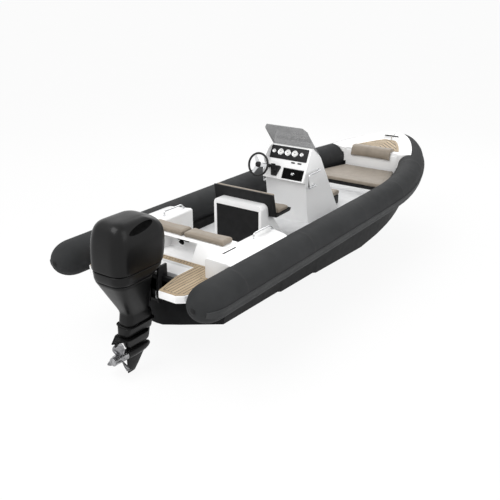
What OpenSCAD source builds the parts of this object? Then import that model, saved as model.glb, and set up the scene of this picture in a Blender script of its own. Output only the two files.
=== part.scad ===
// Rigid inflatable boat with centre console and one outboard motor.
// +X points to the bow, +Y to port, +Z up. The origin lies on the centreline,
// at the aft face of the transom, on the waterline. Millimetres.

/* [Collar] */
// Radius of the inflated collar tubes
tube_r = 215; // [190:5:245]
// Distance from the centreline to the centre of each tube
tube_y = 1030; // [960:10:1140]
// Length of the collar aft of the transom
tail_overhang = 550; // [500:10:650]
// Length of the rounded tail of each tube
tail_len = 300; // [220:10:400]
// Where the tubes start to curve inwards
bow_start = 4000; // [3800:10:4200]
// Centre of the collar where both tubes meet at the bow
bow_x = 6670; // [6550:10:6900]
// How far the collar rises towards the bow
sheer = 180; // [100:10:240]
// Width of the rubbing strake, measured round the tube
strake_w = 110; // [60:5:140]
// Thickness of the rubbing strake
strake_t = 12; // [6:1:20]
// How far round below the tube's mid-height the strake runs, in degrees
strake_low = 14; // [0:1:20]

/* [Hull] */
// Height of the cockpit floor above the waterline
floor_z = 30; // [20:5:60]
// Thickness of the cockpit floor
floor_t = 30; // [15:1:30]
// Draught of the keel at the transom
keel_aft = 430; // [380:10:520]
// Draught of the keel amidships
keel_mid = 560; // [500:10:640]
// Half width across the chines
chine_y = 990; // [900:10:1010]
// Height of each step in the bottom
step_h = 25; // [10:1:40]
// Thickness of the transom
transom_t = 70; // [50:5:90]
// Height of the transom where the motor hangs
transom_top = 190; // [170:5:200]

/* [Stern] */
// Height of the swim platforms
platform_z = 240; // [235:1:260]
// Thickness of the swim platforms
platform_t = 96; // [60:1:110]
// How far the platforms reach aft of the transom
platform_aft = 360; // [300:10:400]
// Thickness of the teak planking
teak_t = 8; // [5:1:12]
// Length of the motor well from the transom to the bulkhead
well_len = 330; // [300:10:360]
// Half width of the motor well
well_w = 315; // [300:5:330]
// Height of the side coamings
coaming_z = 470; // [465:1:500]
// Half width between the side coamings
coaming_y = 600; // [580:10:620]
// Where the side coamings end
coaming_end = 1430; // [1300:10:1500]

/* [Seats] */
// Thickness of the seat cushions
cushion_t = 70; // [50:1:80]
// Aft face of the helm seat's base
helm_x = 1610; // [1600:10:1650]
// Half width of the helm seat's base
helm_base_w = 378; // [340:1:400]
// Half width of the helm seat
helm_seat_w = 473; // [440:1:490]
// Height of the helm seat's base
helm_base_z = 622; // [600:1:650]
// Height of the helm seat's back
helm_back_z = 780; // [740:1:820]

/* [Console] */
// Half width of the console
console_w = 335; // [320:1:380]
// Height of the console
console_z = 1102; // [1060:1:1150]
// Height of the windscreen's top edge
screen_z = 1415; // [1350:1:1480]
// Diameter of the steering wheel
wheel_d = 340; // [300:5:360]

/* [Outboard] */
// Height of the tilt axis
tilt_z = 285; // [280:1:300]
// Distance of the steering axis behind the transom
steer_back = 120; // [115:1:130]
// Half width of the cowl
cowl_w = 262; // [240:1:275]
// Height of the cowl's top
cowl_top = 1000; // [985:5:1040]
// Depth of the propeller shaft below the waterline
prop_z = 610; // [600:5:640]
// Radius of the propeller
prop_r = 190; // [170:1:200]

/* [Hidden] */

white = "white";
grey = [0.82, 0.83, 0.84];
charcoal = [0.24, 0.24, 0.25];
black = [0.08, 0.08, 0.09];
tan_cloth = [0.55, 0.49, 0.42];
teak = [0.72, 0.58, 0.42];
steel = [0.75, 0.76, 0.78];
smoke = [0.45, 0.46, 0.48, 0.5];

// Gap between soft or curved faces that rest on each other.
rest_gap = 0.3;
// Gap round doors, lids and other moving pieces.
move_gap = 5;
// Radial clearance of a shaft in its bore.
shaft_gap = 0.05;
tube_z = floor_z + 5 + tube_r;
deck_edge = 240;
tube_sides = 32;

// ---- Collar geometry -------------------------------------------------------
// The starboard tube's centre line in plan is straight up to bow_start and
// then a cubic curve that meets the centreline square at bow_x.
curve_pts = [[bow_start, -tube_y], [bow_start + 1200, -tube_y], [bow_x, -400], [bow_x, 0]];
function curve(t) = pow(1 - t, 3) * curve_pts[0] + 3 * pow(1 - t, 2) * t * curve_pts[1]
    + 3 * (1 - t) * t * t * curve_pts[2] + pow(t, 3) * curve_pts[3];
function curve_dir(t) = pow(1 - t, 2) * (curve_pts[1] - curve_pts[0])
    + 2 * (1 - t) * t * (curve_pts[2] - curve_pts[1]) + t * t * (curve_pts[3] - curve_pts[2]);
sheer_x = bow_start - 500;
function rise(x) = x < sheer_x ? 0 : sheer * pow((x - sheer_x) / (bow_x - sheer_x), 2);
function tail_r(x) = x > tail_len - tail_overhang ? tube_r
    : max(6, tube_r * pow(1 - pow(1 - (x + tail_overhang) / tail_len, 2.2), 0.5));

// A station is [centre, inward unit normal, tube radius].
function straight_station(x) = [[x, -tube_y, tube_z + rise(x)], [0, 1, 0], tail_r(x)];
function curve_station(t) = let (p = curve(t), d = curve_dir(t) / norm(curve_dir(t)))
    [[p.x, p.y, tube_z + rise(p.x)], [-d.y, d.x, 0], tube_r];
function stations(tail, steps) = concat(
    [for (x = tail) straight_station(x)],
    [for (t = steps) curve_station(t)]);
// Where the nose moulding starts to cross the boat.
function curve_at(x) = lookup(x, [for (i = [0 : 32]) [curve(i / 32).x, i / 32]]);
nose_t = curve_at(bow_x - 1010);
moulding_t = concat([nose_t], [for (i = [0 : 16]) if (i / 18 > nose_t) i / 18]);
bow_steps = concat([for (i = [0 : 16]) if (i / 18 < nose_t) i / 18], moulding_t, [1]);

tail_steps = [for (i = [0 : 10]) -tail_overhang + tail_len * (1 - cos(9 * i))];
strake_tail = [for (i = [4 : 10]) -tail_overhang + tail_len * (1 - cos(9 * i))];
mid_steps = [800, 1700, 2600, 3500];

// A point at an angle round a station's tube: 0 is inboard, 90 is up.
function round_tube(s, a, r) = s[0] + s[1] * r * cos(a) + [0, 0, r * sin(a)];

// Closed skin over rings of points, all rings of the same length.
module loft(rings) {
    n = len(rings[0]);
    m = len(rings);
    polyhedron(
        points = [for (ring = rings) each ring],
        faces = concat(
            [[for (k = [0 : n - 1]) k]],
            [for (i = [0 : m - 2], k = [0 : n - 1])
                [i * n + k, (i + 1) * n + k, (i + 1) * n + (k + 1) % n, i * n + (k + 1) % n]],
            [[for (k = [n - 1 : -1 : 0]) (m - 1) * n + k]]));
}

module port() mirror([0, 1, 0]) children();

// Prisms from outlines in (y, z) and in (x, z).
module prism_x(x0, x1) translate([x0, 0, 0]) rotate([90, 0, 90]) linear_extrude(x1 - x0) children();
module prism_y(y0, y1) translate([0, y1, 0]) rotate([90, 0, 0]) linear_extrude(y1 - y0) children();
module slab(x0, x1, y0, y1, z0, z1) translate([x0, y0, z0]) cube([x1 - x0, y1 - y0, z1 - z0]);
module bar(a, b, r) translate(a) rotate([0, acos((b - a).z / norm(b - a)), atan2((b - a).y, (b - a).x)])
    cylinder(r = r, h = norm(b - a), $fn = 24);

module tube() loft([for (s = stations(concat(tail_steps, mid_steps), bow_steps))
    [for (k = [0 : tube_sides - 1]) round_tube(s, 360 * k / tube_sides, s[2])]]);
module tube_starboard() color(charcoal) tube();
module tube_port() color(charcoal) port() tube();

strake_a = strake_w / tube_r * 90 / PI;
strake_mid = 180 + strake_low;
module strake() loft([for (s = stations(concat(strake_tail, mid_steps), bow_steps))
    concat(
        [for (k = [0 : 4]) round_tube(s, strake_mid - strake_a + k * strake_a / 2, s[2] + 0.5)],
        [for (k = [4 : -1 : 0])
            round_tube(s, strake_mid - strake_a * 0.9 + k * strake_a * 0.45, s[2] + strake_t)])]);
module rubbing_strakes() color(black) {
    strake();
    port() strake();
}

// ---- Hull ------------------------------------------------------------------
// Keel, chine and stem lines along the length, as straight runs between stations.
step_1 = 1130;
step_2 = 1970;
stem_x = bow_x - 240;
keel_line = [[0, -keel_aft], [step_1, -keel_aft - 40], [step_1 + 15, -keel_aft - 40 - step_h],
    [step_2, -keel_aft - 55 - step_h], [step_2 + 15, -keel_aft - 55 - 2 * step_h],
    [3300, -keel_mid - 2], [4000, -keel_mid + 20], [4700, -470], [bow_x - 1370, -300], [bow_x - 770, -120],
    [stem_x, 40]];
chine_line = [[0, -145], [step_1, -180], [step_1 + 15, -180 - step_h], [step_2, -235],
    [step_2 + 15, -235 - step_h], [3300, -330], [3800, -290], [4400, -200], [bow_x - 1470, -70],
    [bow_x - 770, 20], [stem_x, 90]];
// Half width at the chine: full aft, then inside the collar's own curve.
shelf_drop = tube_r * 0.5 + 20;
hull_x = [0, 600, step_1, step_1 + 15, step_2, step_2 + 15, 2600, 3300, sheer_x, 3800];
function hull_rings() = concat(
    [for (x = hull_x) hull_ring(straight_station(x), x)],
    [for (i = [0 : 15]) let (s = curve_station(i / 18))
        hull_ring(s, min(stem_x - 10, s[0].x))]);
// Half of a section runs from the keel out to the chine, up to the tube and
// round the tube's underside to the cockpit floor.
function half_ring(s, x) = let (
        c = s[0], n = s[1], zk = lookup(x, keel_line), zc = max(lookup(x, chine_line), zk + 40),
        chine = [c.x, c.y, 0] + n * (tube_y - chine_y) + [0, 0, zc], k = [chine.x, 0, zk],
        inner = [c.x, c.y, 0] + n * deck_edge, top = max(floor_z - floor_t, zk + 40))
    [k + [0, chine.y * 0.1, 5], k + (chine - k) * 0.38 + [0, 0, -20], chine,
        for (a = [-90 : 10 : -30]) round_tube(s, a, tube_r / cos(5) + rest_gap),
        [inner.x, inner.y, c.z - shelf_drop], [inner.x, inner.y, top]];
function hull_ring(s, x) = let (h = half_ring(s, x), m = len(h), k = [h[2].x, 0, lookup(x, keel_line)])
    concat([k], h, [for (i = [m - 1 : -1 : 0]) [h[i].x, -h[i].y, h[i].z]]);

// As loft(), for rings that start on the centreline and mirror themselves.
module mirrored_loft(rings) {
    n = len(rings[0]);
    h = (n - 1) / 2;
    m = len(rings);
    last = (m - 1) * n;
    polyhedron(
        points = [for (ring = rings) each ring],
        faces = concat(
            [for (i = [0 : m - 2], k = [0 : n - 1]) let (a = i * n + k, b = i * n + (k + 1) % n)
                each k < h ? [[a, b, b + n], [a, b + n, a + n]] : [[a, b, a + n], [b, b + n, a + n]]],
            [[0, n - 1, 1], [last, last + 1, last + n - 1]],
            [for (k = [1 : h - 1]) each [[k, n - k, n - k - 1], [k, n - k - 1, k + 1]]],
            [for (k = [1 : h - 1]) each [[last + k, last + k + 1, last + n - k],
                [last + k + 1, last + n - k - 1, last + n - k]]]));
}

module boat_hull() color(black) mirrored_loft(hull_rings());
in_y = tube_y - deck_edge;
module transom() color(black) prism_x(0, transom_t) polygon([
    [-in_y, floor_z - floor_t], [in_y, floor_z - floor_t], [in_y, platform_z - platform_t],
    [well_w, platform_z - platform_t], [well_w, transom_top],
    [-well_w, transom_top], [-well_w, platform_z - platform_t], [-in_y, platform_z - platform_t]]);

// ---- Cockpit floor ---------------------------------------------------------
function floor_edge() = concat([[transom_t, -in_y + rest_gap]],
    [for (i = [0 : 11]) let (s = curve_station(i / 18))
        [s[0].x, s[0].y] + [s[1].x, s[1].y] * (deck_edge + rest_gap)]);
module cockpit_floor() color(grey) translate([0, 0, floor_z - floor_t]) linear_extrude(floor_t)
    polygon(concat(floor_edge(), [for (i = [12 : -1 : 0]) [floor_edge()[i].x, -floor_edge()[i].y]]));

// ---- Stern -----------------------------------------------------------------
// The bulkhead's aft face leans forward from the well to its top.
bulkhead_x = well_len + 90;
bulkhead_top = platform_z + 225;
bulkhead_lean = 130;
bulkhead_deep = 380;

module motor_well() color(grey) difference() {
    slab(transom_t, bulkhead_x, -well_w, well_w, floor_z, platform_z - teak_t);
    slab(transom_t - 1, well_len, -well_w + 25, well_w - 25, transom_top + 10, platform_z);
    slab(transom_t - 1, transom_t + 60, -well_w + 25, well_w - 25, transom_top - 60, platform_z);
}

// Outline of the starboard platform in plan: its outer edge stops short of the tube.
platform_pts = [[-platform_aft, -400], [-platform_aft, -640], [-platform_aft + 60, -720],
    [-100, -795], [bulkhead_x, -800], [bulkhead_x, -well_w], [0, -well_w], [-platform_aft * 0.5, -360]];
teak_pts = [[-platform_aft + 12, -408], [-platform_aft + 12, -632], [-platform_aft + 66, -708],
    [-100, -770], [180, -770], [180, -coaming_y], [bulkhead_x, -coaming_y], [bulkhead_x, -well_w],
    [10, -well_w - 10], [-platform_aft * 0.5, -370]];
module platform() difference() {
    translate([0, 0, platform_z - platform_t]) linear_extrude(platform_t - teak_t) polygon(platform_pts);
    tube_cut(14);
}
// The tube as a plain round cutter, that much larger.
module tube_cut(grow) translate([-800, -tube_y, tube_z]) rotate([0, 90, 0])
    cylinder(r = tube_r + grow, h = 3000, $fn = 64);
module swim_platforms() color(white) {
    platform();
    port() platform();
}

module teak_stern() color(teak) translate([0, 0, platform_z - teak_t]) {
    linear_extrude(teak_t) polygon(teak_pts);
    port() linear_extrude(teak_t) polygon(teak_pts);
    slab(well_len + 10, bulkhead_x, -well_w - 12, well_w + 12, 0, teak_t);
}

// The coaming fills the corner between the cockpit and the tube's shoulder.
coaming_start = 190;
coaming_arc = [for (a = [70 : -12 : -26])
    [-tube_y, tube_z] + (tube_r / cos(6) + rest_gap) * [cos(a), sin(a)]];
module coaming() difference() {
    prism_x(coaming_start, coaming_end) polygon(concat(
        [[-tube_y + deck_edge, floor_z], [-coaming_y, floor_z], [-coaming_y, coaming_z - 20],
            [-coaming_y - 20, coaming_z], [-tube_y + 130, coaming_z],
            [-tube_y + 90, tube_z + tube_r * 0.97]], coaming_arc,
        [[-tube_y + deck_edge, tube_z - shelf_drop + 1]]));
    slab(coaming_start - 1, bulkhead_x, -tube_y, -coaming_y + 1, 0, platform_z - teak_t);
    coaming_nose();
    slab(400, 640, -700, -680, coaming_z - 12, coaming_z + 1);
}
// Slanting cuts that taper the coaming's forward and after ends.
module coaming_nose() {
    translate([coaming_end, -coaming_y, 0]) rotate([0, 0, -17.5]) translate([0, -900, -1])
        cube([900, 1800, 900]);
    translate([coaming_start, 0, platform_z]) rotate([0, -58, 0]) translate([-900, -tube_y, 0])
        cube([900, 2000, 900]);
}
module coamings() color(white) {
    coaming();
    port() coaming();
}

rail_y = 700;
rail_z = coaming_z + 60;
module stern_rail() {
    bar([960, -rail_y, rail_z], [1335, -rail_y, rail_z], 12);
    bar([985, -rail_y, coaming_z], [985, -rail_y, rail_z], 10);
    bar([1375, -rail_y, coaming_z + 7.2], [1322, -rail_y, rail_z], 10);
}
module stern_rails() color(steel) {
    stern_rail();
    port() stern_rail();
}

bulk_pts = [[bulkhead_x, floor_z], [bulkhead_x, platform_z], [bulkhead_x + bulkhead_lean, bulkhead_top],
    [bulkhead_x + bulkhead_deep, bulkhead_top], [bulkhead_x + bulkhead_deep, floor_z]];
module aft_bulkhead() color(white) difference() {
    prism_y(-coaming_y + rest_gap, coaming_y - rest_gap) polygon(bulk_pts);
    slab(bulkhead_x - 1, bulkhead_x + 260, -205, 330, platform_z + 12, bulkhead_top - 28);
}
bolster_y = coaming_y - 20;
bolster_deep = 215;
module bulkhead_bolster() color(tan_cloth) slab(bulkhead_x + bulkhead_lean, bulkhead_x + bulkhead_lean
    + bolster_deep, -bolster_y, bolster_y, bulkhead_top + rest_gap, bulkhead_top + 62);

// Low locker seat forward of the bulkhead, with a lid hinged at its after edge.
seat_x0 = bulkhead_x + bulkhead_deep;
seat_x1 = seat_x0 + 400;
seat_z = 215;
lid_t = 22;
lid_x0 = seat_x0 + 85;
module aft_seat_box() color(white) difference() {
    slab(seat_x0, seat_x1, -coaming_y + rest_gap, coaming_y - rest_gap, floor_z, seat_z + lid_t);
    slab(lid_x0 - move_gap, seat_x1 + 1, -coaming_y - 1, coaming_y + 1, seat_z, seat_z + lid_t + 1);
    slab(seat_x0 + 40, seat_x1 - 30, -coaming_y + 40, coaming_y - 40, floor_z + 20, seat_z + 1);
}
module aft_seat_lid() color(white) slab(lid_x0, seat_x1, -coaming_y + 12, coaming_y - 12,
    seat_z + rest_gap, seat_z + lid_t);
module aft_seat_cushion() color(tan_cloth) slab(lid_x0 + 10, seat_x1 - 5, -coaming_y + 22,
    coaming_y - 22, seat_z + lid_t + rest_gap, seat_z + lid_t + cushion_t - 22);

// ---- Helm seat ---------------------------------------------------------------
helm_top_x = 145;
pan_z = 440;
helm_base_pts = [[helm_x, floor_z], [helm_x + 600, floor_z], [helm_x + 250, pan_z],
    [helm_x + 170, pan_z], [helm_x + helm_top_x, helm_base_z], [helm_x, helm_base_z]];
door_w = helm_base_w - 46;
door_z0 = floor_z + 40;
door_z1 = helm_base_z - 80;
door_t = 18;
module helm_seat_base() color(white) difference() {
    prism_y(-helm_base_w, helm_base_w) polygon(helm_base_pts);
    slab(helm_x - 1, helm_x + door_t + 12, -door_w - move_gap, door_w + move_gap, door_z0 - move_gap,
        door_z1 + move_gap + 3);
    door_pin(door_pin_r + shaft_gap);
    slab(helm_x - 1, helm_x + 150, -door_w + 20, door_w - 20, door_z0 + 20, door_z1 - 20);
    for (s = [-1, 1]) helm_corner(s);
}
// Waste outside the rounded upper corners of the base.
corner_r = 70;
module helm_corner(s) prism_x(helm_x - 1, helm_x + 400) difference() {
    translate([s * helm_base_w - corner_r, helm_base_z - corner_r]) square(2 * corner_r);
    translate([s * (helm_base_w - corner_r), helm_base_z - corner_r]) circle(r = corner_r, $fn = 48);
}
// The door hangs from a rod along its top edge.
door_pin_r = 4;
module door_pin(r) translate([helm_x + 7, door_w + 15, door_z1 - 5]) rotate([90, 0, 0])
    cylinder(r = r, h = 2 * door_w + 30, $fn = 32);
module helm_base_door() color(black) {
    slab(helm_x + 2, helm_x + 2 + door_t, -door_w, door_w, door_z0, door_z1);
    door_pin(door_pin_r);
}

shell_t = 22;
shell_x0 = helm_x + helm_top_x + 2;
shell_x1 = helm_x + 570;
module helm_seat_shell() color(black) prism_y(-helm_seat_w, helm_seat_w) polygon([
    [shell_x0 + 60, pan_z + rest_gap], [shell_x1 - 30, pan_z + 8], [shell_x1, pan_z + 45],
    [shell_x1 - 8, pan_z + 50], [shell_x1 - 40, pan_z + 30], [shell_x0 + 75, pan_z + shell_t],
    [shell_x0 + shell_t - 20, helm_back_z - 20], [shell_x0 - 22, helm_back_z - 20],
    [shell_x0 + 26, pan_z + 20]]);
module helm_seat_cushion() color(tan_cloth) prism_y(-helm_seat_w + 15, helm_seat_w - 15) polygon([
    [shell_x0 + 135, pan_z + shell_t + 1.9], [shell_x1 - 45, pan_z + 30.2], [shell_x1 - 12, pan_z + 48],
    [shell_x1 - 30, pan_z + 85], [shell_x0 + 140, pan_z + 90]]);
module helm_back_cushion() color(tan_cloth) prism_y(-helm_seat_w + 10, helm_seat_w - 10) polygon([
    [shell_x0 + 73.4, pan_z + shell_t + 8], [shell_x0 + 2.3, helm_back_z - 20.5],
    [shell_x0 + 2.3, helm_back_z], [shell_x0 + 45, helm_back_z], [shell_x0 + 130, pan_z + 40]]);

// ---- Console -----------------------------------------------------------------
// Outline from the side. The dash leans forward from its lower lip to the top.
dash_low = [2700, 665];
dash_high = [2912, console_z];
console_front = 3760;
console_pts = [[2870, floor_z], [2770, 640], [2735, 655], dash_low, dash_high, [2960, console_z],
    [3120, 985], [3180, 930], [console_front, floor_z]];
dash_dir = (dash_high - dash_low) / norm(dash_high - dash_low);
dash_angle = atan2(dash_dir.x, dash_dir.y);
dash_len = norm(dash_high - dash_low);
// Places children on the dash: x out of the face, y to port, z up the face.
module on_dash(up) translate([dash_low.x, 0, dash_low.y]) rotate([0, dash_angle, 0]) translate([0, 0, up])
    mirror([1, 0, 0]) children();
glove = [-300, 30, 22, 170];
cheek_pts = [dash_high, [2860, console_z - 8], [2790, console_z - 50], [2735, console_z - 110],
    [2715, console_z - 170], [2745, console_z - 250], [2860, console_z - 180]];
module console() color(grey) difference() {
    union() {
        prism_y(-console_w, console_w) polygon(console_pts);
        prism_y(console_w - 30, console_w) polygon(cheek_pts);
    }
    on_dash(0) slab(-30, 1, glove[0] - move_gap, glove[1] + move_gap,
        glove[2] - move_gap, glove[3] + move_gap);
    on_dash(0) glove_pin(glove_pin_r + shaft_gap);
    on_dash(0) slab(-150, 1, glove[0] + 15, glove[1] - 15, glove[2] + 15, glove[3] - 15);
}
module gauge_panel() color(black) on_dash(dash_len - 14) slab(0.01, 8, -305, 305, -185, 0);
module throttle() color(black) {
    on_dash(105) slab(0.01, 22, 75, 245, -70, 80);
    on_dash(105) bar([20, 160, 10], [85, 160, 70], 9);
    on_dash(105) bar([85, 125, 70], [85, 195, 70], 13);
}
// The lid hangs from a rod along its top edge.
glove_pin_r = 3;
module glove_pin(r) translate([-5, glove[1] + 15, glove[3] - 5]) rotate([90, 0, 0])
    cylinder(r = r, h = glove[1] - glove[0] + 30, $fn = 32);
module glovebox_lid() color(black) on_dash(0) {
    slab(-18, -2, glove[0], glove[1], glove[2], glove[3] - 2);
    glove_pin(glove_pin_r);
}

screen_t = 8;
screen_low = [2985, 1084.2];
screen_high = [2713, screen_z];
screen_mid = screen_z - 55;
screen_w = 345;
module windscreen() color(smoke) {
    difference() {
        prism_y(-screen_w, screen_w) polygon([screen_low, screen_high, screen_high + [screen_t, 6],
            screen_low + [screen_t * 1.3, 0]]);
        for (s = [-1, 1]) translate([screen_high.x, s * screen_w, screen_z + 10]) rotate([45, 0, 0])
            cube([200, 85, 85], center = true);
    }
    for (s = [-1, 1]) translate([0, s * (screen_w - screen_t / 2), 0])
        prism_y(-screen_t / 2, screen_t / 2) polygon([screen_low, [2765, screen_mid - 15],
            [2790, screen_mid - 30], [3110, 992.6], [2990, 1080.4]]);
}

wheel_c = [2489, 273, 892];
column_len = 330;
wheel_lean = 15.5;
module on_wheel() translate(wheel_c) rotate([0, 90 + wheel_lean, 0]) children();
module steering_wheel() color(black) on_wheel() {
    rotate_extrude($fn = 96) translate([wheel_d / 2 - 13, 0]) circle(r = 13, $fn = 24);
    for (a = [30, 150, 270]) rotate([0, 0, a]) translate([30, -14, -3]) cube([wheel_d / 2 - 45, 28, 6]);
    cylinder(r = 38, h = 40, center = true, $fn = 48);
    cylinder(r = 12, h = 150, $fn = 32);
}
module steering_column() color(black) difference() {
    on_wheel() difference() {
        translate([0, 0, 60]) cylinder(r = 26, h = column_len - 30, $fn = 48);
        translate([0, 0, 50]) cylinder(r = 12 + shaft_gap, h = 110, $fn = 32);
    }
    on_dash(0) slab(-400, 0, 0, 500, -200, 900);
}

crail_y = console_w + 45;
module console_rail() {
    for (z = [[2788, 770, 3130], [2778, 575, 3010]]) {
        bar([z[0], -crail_y, z[1]], [z[2], -crail_y, z[1]], 12);
        bar([z[2] - 20, -console_w, z[1]], [z[2] - 20, -crail_y, z[1]], 9);
    }
    bar([2804, -crail_y, 770], [2796, -crail_y, 575], 10);
}
module console_rails() color(steel) {
    console_rail();
    port() console_rail();
}

// Seat on the console's sloping front.
fseat_z = 165;
fseat_x = console_front - (fseat_z - floor_z) * (console_front - 3180) / 900 + rest_gap;
module console_seat() color(tan_cloth) slab(fseat_x, console_front + 250, -250, 250,
    fseat_z, fseat_z + cushion_t);
module console_seat_box() color(black) prism_y(-235, 235) polygon([[console_front + rest_gap, floor_z],
    [console_front + 220, floor_z], [console_front + 220, fseat_z - rest_gap],
    [fseat_x, fseat_z - rest_gap]]);

// ---- Bow ---------------------------------------------------------------------
pad_x1 = bow_x - 1110;
pad_x0 = pad_x1 - 920;
pad_z = 225;
pad_lid_t = 45;
locker_z = pad_z - cushion_t - pad_lid_t;
function bow_half(x) = let (t = lookup(x, [for (i = [0 : 16]) [curve(i / 16).x, i / 16]]),
    s = curve_station(t)) -s[0].y - deck_edge / max(0.4, s[1].y) ;
module inset_outline(d, x0, x1) polygon(concat(
    [for (i = [0 : 4]) let (x = x0 + (x1 - x0) * i / 4) [x, -bow_half(x) + d]],
    [for (i = [4 : -1 : 0]) let (x = x0 + (x1 - x0) * i / 4) [x, bow_half(x) - d]]));
module bow_locker() color(white) difference() {
    translate([0, 0, floor_z]) linear_extrude(locker_z - floor_z) inset_outline(2, pad_x0, pad_x1);
    translate([0, 0, floor_z + 15]) linear_extrude(locker_z) inset_outline(70, pad_x0 + 40, pad_x1 - 60);
}
module sun_pad_lid() color(black) translate([0, 0, locker_z + rest_gap]) linear_extrude(pad_lid_t - rest_gap)
    inset_outline(25, pad_x0 + 8, pad_x1 - 12);
module sun_pad() color(tan_cloth) translate([0, 0, locker_z + pad_lid_t + rest_gap])
    linear_extrude(cushion_t - rest_gap) inset_outline(28, pad_x0, pad_x1 - 14);

bow_deck_z = 515;
bow_deck_x = pad_x1 + 10;
bow_block_x = bow_x - 670;
// Half section of the nose moulding: its upper face from the deck out to the
// tube's crown, then its lower face back in.
function mid(a, b, f) = a + (b - a) * f;
function moulding_top(s) = let (c = s[0], in = [c.x, c.y, 0] + s[1] * tube_r * 0.9 + [0, 0, deck_at(c.x)],
        edge = round_tube(s, 62, tube_r + 16))
    [in, mid(in, edge, 0.3), mid(in, edge, 0.6), edge, round_tube(s, 75, tube_r + 14),
        round_tube(s, 88, tube_r + 12)];
function moulding_under(s) = concat(
    [for (a = [88 : -12 : 40]) round_tube(s, a, tube_r / cos(6) + rest_gap)],
    [s[0] + s[1] * tube_r * 0.9 + [0, 0, tube_r * 0.465]]);
function moulding(s) = concat(moulding_top(s), moulding_under(s));
function deck_at(x) = bow_deck_z + 0.5 * (rise(x) - rise(bow_deck_x));
function flipped(pts) = [for (i = [len(pts) - 1 : -1 : 0]) [pts[i].x, -pts[i].y, pts[i].z]];
function moulding_ring(s) = concat(flipped(moulding_top(s)), moulding(s), flipped(moulding_under(s)));

// As loft(), for sections that are bands with as many points above as below.
module band_loft(rings) {
    n = len(rings[0]);
    m = len(rings);
    last = (m - 1) * n;
    polyhedron(
        points = [for (ring = rings) each ring],
        faces = concat(
            [for (i = [0 : m - 2], k = [0 : n - 1]) let (a = i * n + k, b = i * n + (k + 1) % n)
                each [[a, a + n, b + n], [a, b + n, b]]],
            [for (k = [0 : n / 2 - 2]) each [[k, k + 1, n - 2 - k], [k, n - 2 - k, n - 1 - k]]],
            [for (k = [0 : n / 2 - 2]) each [[last + k, last + n - 1 - k, last + n - 2 - k],
                [last + k, last + n - 2 - k, last + k + 1]]]));
}
// Past its last station the moulding runs straight to the foremost ring, as the tube does.
function nose_ring(f) = let (a = moulding_ring(curve_station(16 / 18)), b = moulding_ring(curve_station(1)))
    [for (i = [0 : len(a) - 1]) mid(a[i], b[i], f)];
module bow_deck() color(white) {
    band_loft(concat([for (t = moulding_t) moulding_ring(curve_station(t))],
        [for (f = [0.5, 0.95]) nose_ring(f)]));
    translate([0, 0, floor_z]) linear_extrude(440) inset_outline(8, bow_deck_x, bow_block_x);
}
// The covers stop a hair short of the nose moulding.
cover_t = concat([for (i = [0 : 16]) if (i / 18 < nose_t && i / 18 > nose_t - 2 / 18) i / 18],
    [nose_t - rest_gap / 2000]);
module bow_cover() band_loft([for (t = cover_t) moulding(curve_station(t))]);
module bow_covers() color(white) {
    bow_cover();
    port() bow_cover();
}
module bow_bolster() color(tan_cloth) translate([bow_deck_x, 0, bow_deck_z]) prism_y(-380, 380) polygon([
    [-50, -125], [-rest_gap, -125], [-rest_gap, 20], [160, 20], [160, 48], [90, 62], [30, 56], [-20, 28],
    [-44, -20], [-50, -80]]);
// Deck height and the teak's outline follow the moulding's inner edge.
deck_line = [for (t = moulding_t) let (p = moulding(curve_station(t))[0]) [p.x, p.z]];
function teak_ring(p) = let (w = -p.y - 35, z = p.z + rest_gap)
    [[p.x, w, z], [p.x, w, z + teak_t], [p.x, -w, z + teak_t], [p.x, -w, z]];
module bow_teak() color(teak) loft([for (i = [1 : 6]) teak_ring(moulding(curve_station(moulding_t[i]))[0])]);
bow_bar_x = bow_x - 250;
bow_bar_z = lookup(bow_bar_x, deck_line) + 62;
// The post's foot clears the sloping deck all round.
post_foot = 1.4;
module bow_post() color(steel) {
    bar([bow_bar_x, 0, lookup(bow_bar_x, deck_line) + post_foot], [bow_bar_x, 0, bow_bar_z], 14);
    bar([bow_bar_x, -134, bow_bar_z], [bow_bar_x, 134, bow_bar_z], 11);
}

// ---- Outboard ------------------------------------------------------------------
tilt_x = 30;
steer_x = -steer_back;
steer_r = 26;
pin_r = 14;
module motor_clamp() color(black) {
    for (s = [-1, 1]) difference() {
        translate([0, s * 112, 0]) prism_y(-14, 14) polygon([[-0.3, transom_top + 0.3], [transom_t + 0.3,
            transom_top + 0.3], [transom_t + 0.3, transom_top - 55], [transom_t + 25, transom_top - 55],
            [transom_t + 25, tilt_z + 40], [-40, tilt_z + 30], [-75, 60], [-60, -120], [-0.3, -120]]);
        translate([tilt_x, s * 112, tilt_z]) rotate([90, 0, 0])
            cylinder(r = pin_r - 0.01, h = 60, center = true, $fn = 32);
    }
    translate([tilt_x, 0, tilt_z]) rotate([90, 0, 0]) cylinder(r = pin_r, h = 252, center = true, $fn = 32);
    slab(-40, -0.3, -98, 98, -115, -85);
}
module trim_ram() color(steel) for (s = [-1, 1]) {
    bar([-22, s * 62, -85], [-22, s * 62, 40], 18);
}
module motor_swivel() color(black) difference() {
    union() {
        translate([tilt_x, 0, tilt_z]) rotate([90, 0, 0]) cylinder(r = 30, h = 180, center = true, $fn = 48);
        translate([steer_x, 0, -90]) cylinder(r = 44, h = 390, $fn = 48);
        slab(steer_x, tilt_x, -60, 60, tilt_z - 30, tilt_z + 15);
    }
    translate([tilt_x, 0, tilt_z]) rotate([90, 0, 0])
        cylinder(r = pin_r + shaft_gap, h = 300, center = true, $fn = 32);
    translate([steer_x, 0, -100]) cylinder(r = steer_r + shaft_gap, h = 500, $fn = 48);
}
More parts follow.
